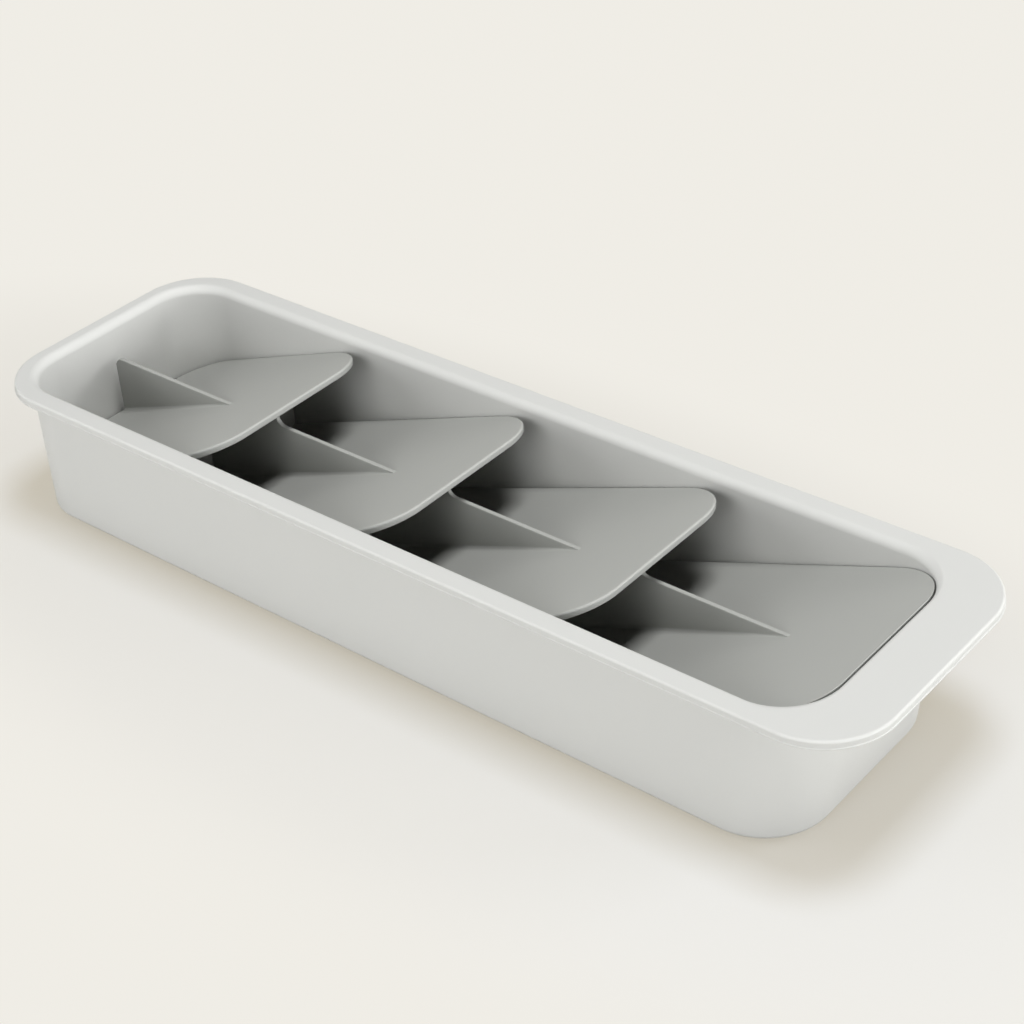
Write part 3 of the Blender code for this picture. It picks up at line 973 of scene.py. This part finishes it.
@dataclass
class Foot:
    """One round rubber foot, with a shallow dish in its lower face.

    Attributes:
        node: The name of its CAD node.
        clearance: Room round the foot in its seat.
        edge_radius: Rounding of its edges.
        dish_rim: Width of the flat ring round the dish.
        dish_depth: Depth of the dish.
        sides: Edges round the foot.
    """

    node: str
    clearance: float = 0.00035
    edge_radius: float = 0.0004
    dish_rim: float = 0.0018
    dish_depth: float = 0.0003
    sides: int = 64

    def __post_init__(self) -> None:
        """Takes the foot's place and size from its CAD node."""
        low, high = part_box(self.node)
        self.centre: Vector = (low + high) / 2
        self.radius: float = (high.x - low.x) / 2
        self.height: float = high.z - low.z

    def _drum(self, name: str, radius: float, height: float, middle_z: float) -> Workpiece:
        """Starts an upright cylinder on the foot's axis.

        Args:
            name: Its name.
            radius: Its radius.
            height: Its height.
            middle_z: The height of its middle.

        Returns:
            The cylinder, in edit mode.
        """
        piece = Workpiece(name)
        bpy.ops.mesh.primitive_cylinder_add(
            vertices=self.sides,
            radius=radius,
            depth=height,
            location=(self.centre.x, self.centre.y, middle_z),
        )
        return piece

    def seat(self, underside_z: float, depth: float, overrun: float) -> Workpiece:
        """Makes the shape that cuts the foot's seat.

        Args:
            underside_z: Height of the tray's underside.
            depth: Depth of the seat.
            overrun: How far the shape runs out of the underside.

        Returns:
            The cutter, in object mode.
        """
        radius = self.radius + self.clearance
        middle_z = underside_z + (depth - overrun) / 2
        drum = self._drum(f"{self.node}_seat", radius, depth + overrun, middle_z)
        park()
        return drum

    def build(self) -> Workpiece:
        """Models the foot.

        Returns:
            The foot, in object mode.
        """
        piece = self._drum(f"{self.node}_pad", self.radius, self.height, self.centre.z)
        piece.select(
            Element.EDGE, lambda edge: abs(edge.verts[0].co.z - edge.verts[1].co.z) < NEAR
        )
        piece.fillet(self.edge_radius, Steps.SMALL)
        piece.select(
            Element.FACE, lambda face: face.normal.z < 0 and len(face.verts) == self.sides
        )
        bpy.ops.mesh.inset(thickness=self.dish_rim)
        bpy.ops.mesh.inset(thickness=self.dish_depth, depth=-self.dish_depth)
        piece.merge()
        park()
        return piece


def add_math(
    tree: bpy.types.NodeTree, operation: str, *values: bpy.types.NodeSocket | float
) -> bpy.types.NodeSocket:
    """Adds a calculation to a node tree.

    Args:
        tree: The node tree.
        operation: Which calculation it is.
        values: What it works on.

    Returns:
        Its result.
    """
    node = tree.nodes.new("ShaderNodeMath")
    node.operation = operation
    for value, socket in zip(values, node.inputs):
        if isinstance(value, bpy.types.NodeSocket):
            tree.links.new(value, socket)
        else:
            socket.default_value = value
    return node.outputs["Value"]


def add_shader(
    tree: bpy.types.NodeTree, kind: str, colour: tuple[float, float, float]
) -> bpy.types.NodeSocket:
    """Adds a shader of one colour to a node tree.

    Args:
        tree: The node tree.
        kind: Which shader it is.
        colour: Its colour, linear.

    Returns:
        The shader's output.
    """
    node = tree.nodes.new(kind)
    node.inputs["Color"].default_value = (*colour, 1.0)
    return node.outputs[0]


def mix_shaders(
    tree: bpy.types.NodeTree,
    share: bpy.types.NodeSocket,
    first: bpy.types.NodeSocket,
    last: bpy.types.NodeSocket,
) -> bpy.types.NodeSocket:
    """Mixes two shaders in a node tree.

    Args:
        tree: The node tree.
        share: How much of the last shader is taken.
        first: The shader at a share of 0.
        last: The shader at a share of 1.

    Returns:
        The mixture.
    """
    node = tree.nodes.new("ShaderNodeMixShader")
    for source, socket in zip((share, first, last), node.inputs):
        tree.links.new(source, socket)
    return node.outputs["Shader"]


def add_surface_group() -> bpy.types.NodeTree:
    """Builds the node group that all mouldings share.

    It lets a colour and a roughness drift slightly over the surface, and gives the height of
    the mould's fine texture. Its patterns read Object coordinates, in metres.

    Returns:
        The group.
    """
    group = bpy.data.node_groups.new("moulded_surface", "ShaderNodeTree")
    sockets = group.interface
    for name, kind in (
        ("Color", "NodeSocketColor"),
        ("Drift", "NodeSocketFloat"),
        ("Roughness", "NodeSocketFloat"),
        ("Roughness Drift", "NodeSocketFloat"),
        ("Grain Scale", "NodeSocketFloat"),
        ("Flow Scale", "NodeSocketFloat"),
    ):
        sockets.new_socket(name, in_out="INPUT", socket_type=kind)
    for name, kind in (
        ("Color", "NodeSocketColor"),
        ("Roughness", "NodeSocketFloat"),
        ("Height", "NodeSocketFloat"),
    ):
        sockets.new_socket(name, in_out="OUTPUT", socket_type=kind)
    nodes, links = group.nodes, group.links
    given = nodes.new("NodeGroupInput")
    result = nodes.new("NodeGroupOutput")
    place = nodes.new("ShaderNodeTexCoord")

    def noise(scale: str, detail: float) -> bpy.types.NodeSocket:
        """Adds a noise.

        Args:
            scale: Which of the group's inputs is its scale.
            detail: How many finer layers it has.

        Returns:
            Its value, from 0 to 1.
        """
        node = nodes.new("ShaderNodeTexNoise")
        node.inputs["Detail"].default_value = detail
        links.new(place.outputs["Object"], node.inputs["Vector"])
        links.new(given.outputs[scale], node.inputs["Scale"])
        return node.outputs["Fac"]

    def spread(source: bpy.types.NodeSocket, amount: str) -> bpy.types.NodeSocket:
        """Turns a noise into a factor that lies evenly round 1."""
        centred = add_math(group, "SUBTRACT", source, NOISE_MIDDLE)
        return add_math(group, "MULTIPLY_ADD", centred, given.outputs[amount], 1.0)

    flow = noise("Flow Scale", detail=3)
    grain = noise("Grain Scale", detail=2)
    tint = nodes.new("ShaderNodeVectorMath")
    tint.operation = "SCALE"
    links.new(given.outputs["Color"], tint.inputs[0])
    links.new(spread(flow, "Drift"), tint.inputs["Scale"])
    drifting = spread(grain, "Roughness Drift")
    rough = add_math(group, "MULTIPLY", given.outputs["Roughness"], drifting)
    links.new(tint.outputs["Vector"], result.inputs["Color"])
    links.new(rough, result.inputs["Roughness"])
    links.new(grain, result.inputs["Height"])
    return group


@dataclass(frozen=True)
class MouldedFinish:
    """The finish of a moulded plastic or rubber.

    Attributes:
        name: The material's name.
        colour: Its colour, linear.
        drift: How far the brightness drifts, as a share.
        roughness: Its roughness.
        roughness_drift: How far the roughness drifts, as a share.
        grain: Size of the mould's texture.
        grain_depth: Depth of that texture.
        flow: Size of the slow drift.
        specular: Strength of the gloss; 0.5 is that of most plastics.
    """

    name: str
    colour: tuple[float, float, float]
    drift: float
    roughness: float
    roughness_drift: float
    grain: float
    grain_depth: float
    flow: float
    specular: float

    def material(self, group: bpy.types.NodeTree) -> bpy.types.Material:
        """Builds the material.

        Args:
            group: The node group of moulded surfaces.

        Returns:
            The material.
        """
        material = bpy.data.materials.new(self.name)
        material.use_nodes = True
        nodes, links = material.node_tree.nodes, material.node_tree.links
        shader = nodes["Principled BSDF"]
        shader.inputs["Specular IOR Level"].default_value = self.specular
        surface = nodes.new("ShaderNodeGroup")
        surface.node_tree = group
        for socket, value in (
            ("Color", (*self.colour, 1.0)),
            ("Drift", self.drift),
            ("Roughness", self.roughness),
            ("Roughness Drift", self.roughness_drift),
            ("Grain Scale", 1 / self.grain),
            ("Flow Scale", 1 / self.flow),
        ):
            surface.inputs[socket].default_value = value
        bump = nodes.new("ShaderNodeBump")
        bump.inputs["Distance"].default_value = self.grain_depth
        links.new(surface.outputs["Color"], shader.inputs["Base Color"])
        links.new(surface.outputs["Roughness"], shader.inputs["Roughness"])
        links.new(surface.outputs["Height"], bump.inputs["Height"])
        links.new(bump.outputs["Normal"], shader.inputs["Normal"])
        return material


PALE_PLASTIC = MouldedFinish(
    name="pale_grey_plastic",
    colour=(0.750, 0.755, 0.730),
    drift=0.03,
    roughness=0.60,
    roughness_drift=0.25,
    grain=0.00045,
    grain_depth=0.000012,
    flow=0.06,
    specular=0.35,
)
GREY_PLASTIC = MouldedFinish(
    name="mid_grey_plastic",
    colour=(0.486, 0.495, 0.470),
    drift=0.04,
    roughness=0.50,
    roughness_drift=0.25,
    grain=0.00045,
    grain_depth=0.000014,
    flow=0.05,
    specular=0.5,
)
DARK_RUBBER = MouldedFinish(
    name="dark_rubber",
    colour=(0.050, 0.050, 0.050),
    drift=0.15,
    roughness=0.75,
    roughness_drift=0.20,
    grain=0.00060,
    grain_depth=0.000030,
    flow=0.01,
    specular=0.4,
)


@dataclass(frozen=True)
class Softbox:
    """A square, evenly glowing lamp that points at the organizer.

    Attributes:
        name: Its name.
        place: Where it hangs.
        size: Length of its sides.
        light: How brightly it lights a surface that faces it; at 1 that alone shows a colour
            as it is written.
        bounces: How many times its light is thrown back, which keeps deep shadows deep.
    """

    name: str
    place: tuple[float, float, float]
    size: float
    light: float
    bounces: int

    def build(self) -> None:
        """Hangs the lamp."""
        away = Vector(self.place)
        lamp = bpy.data.lights.new(self.name, "AREA")
        lamp.shape = "SQUARE"
        lamp.size = self.size
        lamp.energy = self.light * math.pi**2 * away.length_squared
        lamp.cycles.max_bounces = self.bounces
        holder = bpy.data.objects.new(self.name, lamp)
        holder.matrix_world = Matrix.Translation(away) @ away.to_track_quat(
            "Z", "Y"
        ).to_matrix().to_4x4()
        bpy.context.scene.collection.objects.link(holder)


@dataclass
class Studio:
    """The floor, the lights and the backdrop.

    What the camera and reflections see of the floor is set apart from the light that it throws
    back: its shadows are lightened there by a painted fill glow, which is darkened near walls as
    a painted contact shadow, and far from the organizer it runs into the backdrop.

    Attributes:
        lamps: The lamps.
        sky: Strength of the even light from all round.
        floor_size: Length of the floor's sides.
        bounce_colour: Colour of the light that the floor throws back, linear.
        lit_colour: What light adds to the seen floor, linear.
        shade_colour: What the seen floor keeps in a full shadow, linear.
        painted_shade_reach: Distance from a wall within which that glow is darkened, as a
            painted contact shadow.
        painted_shade_share: How much of that glow the painted contact shadow takes where the
            floor is closed in.
        backdrop_colour: The backdrop, linear.
        fade_reach: Distances along X and Y at which the floor starts to run into the backdrop.
        fade_end: How many times as far it has done so.
    """

    lamps: tuple[Softbox, ...] = (
        Softbox("key_lamp", (0.21, 0.02, 1.34), 0.44, 0.58, 1),
        Softbox("near_lamp", (0.20, -1.50, 0.70), 0.70, 0.17, 0),
        Softbox("near_fill", (0.45, -1.68, 0.40), 1.00, 0.21, 0),
        Softbox("near_glow", (0.00, -1.50, 0.03), 0.20, 0.14, 0),
        Softbox("front_fill", (1.72, 0.00, 0.27), 1.00, 0.46, 0),
        Softbox("rear_fill", (-0.80, -0.62, 0.38), 0.60, 0.20, 0),
        Softbox("far_fill", (1.20, 1.20, 0.30), 1.00, 0.55, 0),
    )
    sky: float = 0.02
    floor_size: float = 12.0
    bounce_colour: tuple[float, float, float] = (0.860, 0.845, 0.805)
    lit_colour: tuple[float, float, float] = (0.362, 0.402, 0.472)
    shade_colour: tuple[float, float, float] = (0.522, 0.470, 0.362)
    painted_shade_reach: float = 0.10
    painted_shade_share: float = 0.25
    backdrop_colour: tuple[float, float, float] = (0.868, 0.846, 0.790)
    fade_reach: tuple[float, float] = (0.26, 0.11)
    fade_end: float = 1.6

    def build(self) -> None:
        """Sets the stage."""
        for lamp in self.lamps:
            lamp.build()
        self._floor()
        self._sky()
        bpy.context.scene.view_settings.view_transform = "Standard"
        LOG.info("studio: %d lamps, a sky and a floor", len(self.lamps))

    @staticmethod
    def _seen(tree: bpy.types.NodeTree) -> bpy.types.NodeSocket:
        """Adds a mask of the rays that show the backdrop: from the camera and in reflections.

        Args:
            tree: The node tree.

        Returns:
            The mask.
        """
        path = tree.nodes.new("ShaderNodeLightPath")
        total = path.outputs["Is Camera Ray"]
        for kind in ("Is Glossy Ray", "Is Transmission Ray"):
            total = add_math(tree, "ADD", total, path.outputs[kind])
            total.node.use_clamp = True
        return total

    def _floor(self) -> None:
        """Lays the floor that the organizer stands on."""
        park()
        bpy.ops.mesh.primitive_plane_add(size=self.floor_size)
        floor = bpy.context.object
        floor.name = "studio_floor"
        floor.data.materials.append(self._floor_material())

    def _floor_material(self) -> bpy.types.Material:
        """Builds the floor's material.

        Returns:
            The material.
        """
        material = bpy.data.materials.new("studio_floor")
        material.use_nodes = True
        tree = material.node_tree
        tree.nodes.clear()
        lit = add_shader(tree, "ShaderNodeBsdfDiffuse", self.lit_colour)
        both = tree.nodes.new("ShaderNodeAddShader")
        tree.links.new(lit, both.inputs[0])
        tree.links.new(self._shade(tree), both.inputs[1])
        backdrop = add_shader(tree, "ShaderNodeEmission", self.backdrop_colour)
        look = mix_shaders(tree, self._far(tree), both.outputs["Shader"], backdrop)
        bounce = add_shader(tree, "ShaderNodeBsdfDiffuse", self.bounce_colour)
        surface = mix_shaders(tree, self._seen(tree), bounce, look)
        output = tree.nodes.new("ShaderNodeOutputMaterial")
        tree.links.new(surface, output.inputs["Surface"])
        return material

    def _far(self, tree: bpy.types.NodeTree) -> bpy.types.NodeSocket:
        """Adds a mask of the floor that runs into the backdrop.

        Args:
            tree: The floor's node tree.

        Returns:
            The mask.
        """
        place = tree.nodes.new("ShaderNodeTexCoord")
        measured = tree.nodes.new("ShaderNodeVectorMath")
        measured.operation = "DIVIDE"
        measured.inputs[1].default_value = (*self.fade_reach, 1.0)
        reach = tree.nodes.new("ShaderNodeVectorMath")
        reach.operation = "LENGTH"
        far = tree.nodes.new("ShaderNodeMapRange")
        far.interpolation_type = "SMOOTHSTEP"
        far.inputs["From Min"].default_value = 1.0
        far.inputs["From Max"].default_value = self.fade_end
        tree.links.new(place.outputs["Object"], measured.inputs[0])
        tree.links.new(measured.outputs["Vector"], reach.inputs[0])
        tree.links.new(reach.outputs["Value"], far.inputs["Value"])
        return far.outputs["Result"]

    def _shade(self, tree: bpy.types.NodeTree) -> bpy.types.NodeSocket:
        """Adds what the seen floor keeps in a full shadow.

        Args:
            tree: The floor's node tree.

        Returns:
            A painted fill glow, darkened where a wall is close as a painted contact shadow.
        """
        # Ambient occlusion darkens the glow near walls: a painted contact shadow on the floor
        painted_shade_occlusion = tree.nodes.new("ShaderNodeAmbientOcclusion")
        painted_shade_occlusion.inputs["Distance"].default_value = self.painted_shade_reach
        share = self.painted_shade_share
        kept = add_math(tree, "MULTIPLY_ADD", painted_shade_occlusion.outputs["AO"], share, 1 - share)
        shade = add_shader(tree, "ShaderNodeEmission", self.shade_colour)
        tree.links.new(kept, shade.node.inputs["Strength"])
        return shade

    def _sky(self) -> None:
        """Lights the scene evenly from all round, and shows the backdrop beyond the floor."""
        world = bpy.data.worlds.new("studio_sky")
        world.use_nodes = True
        tree = world.node_tree
        tree.nodes.clear()
        even = add_shader(tree, "ShaderNodeBackground", WHITE)
        even.node.inputs["Strength"].default_value = self.sky
        backdrop = add_shader(tree, "ShaderNodeBackground", self.backdrop_colour)
        surface = mix_shaders(tree, self._seen(tree), even, backdrop)
        output = tree.nodes.new("ShaderNodeOutputWorld")
        tree.links.new(surface, output.inputs["Surface"])
        bpy.context.scene.world = world


@dataclass
class Viewpoint:
    """The photograph's camera.

    Attributes:
        azimuth: Side from which it looks; 0 looks along +Y.
        elevation: How far it stands above the horizon.
        roll: How far the picture is turned.
        place: Where it stands.
        lens: Its focal length, in millimetres on a sensor 36 mm wide.
        near: Closest distance that it sees.
    """

    azimuth: float = 0.7198
    elevation: float = 0.5983
    roll: float = -0.0677
    place: tuple[float, float, float] = (0.44742, -0.48496, 0.49035)
    lens: float = 76.62
    near: float = 0.01

    def build(self) -> None:
        """Makes the camera and hands the scene to it."""
        a, e, r = self.azimuth, self.elevation, self.roll
        back = Vector(
            (math.sin(a) * math.cos(e), -math.cos(a) * math.cos(e), math.sin(e))
        )
        right = Vector((math.cos(a), math.sin(a), 0))
        up = back.cross(right)
        turned_right = math.cos(r) * right + math.sin(r) * up
        turned_up = math.cos(r) * up - math.sin(r) * right
        pose = Matrix((turned_right, turned_up, back)).transposed().to_4x4()
        lens = bpy.data.cameras.new("photo_view")
        lens.lens = self.lens
        lens.clip_start = self.near
        camera = bpy.data.objects.new("photo_view", lens)
        camera.matrix_world = Matrix.Translation(self.place) @ pose
        bpy.context.scene.collection.objects.link(camera)
        bpy.context.scene.camera = camera
        LOG.info("camera: %.2f mm lens", self.lens)


def main() -> None:
    """Builds the organizer, its finishes and the studio round it."""
    logging.basicConfig(level=logging.INFO, format="%(name)s: %(message)s")
    Viewpoint().build()
    Studio().build()
    nodes = list(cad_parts)
    tray = Tray()
    tiers: list[Tier] = []
    for number in range(1, 1 + sum(node.startswith("tier_") for node in nodes)):
        tiers.append(Tier(number, tray, tiers[-1] if tiers else None))
    # The front shelf ends at the flange
    tiers[-1].edge_radius = tiers[-1].crisp_edge_radius
    feet = [Foot(node) for node in sorted(nodes) if node.startswith("foot_")]
    group = add_surface_group()
    tray.build(tiers, feet).finish("tray", Slot.TRAY, PALE_PLASTIC.material(group))
    grey = GREY_PLASTIC.material(group)
    for tier in tiers:
        tier.build().finish(tier.name, Slot.TIER, grey)
    rubber = DARK_RUBBER.material(group)
    for foot in feet:
        foot.build().finish(foot.node, Slot.FOOT, rubber)
    park()


if __name__ == "__main__":
    main()
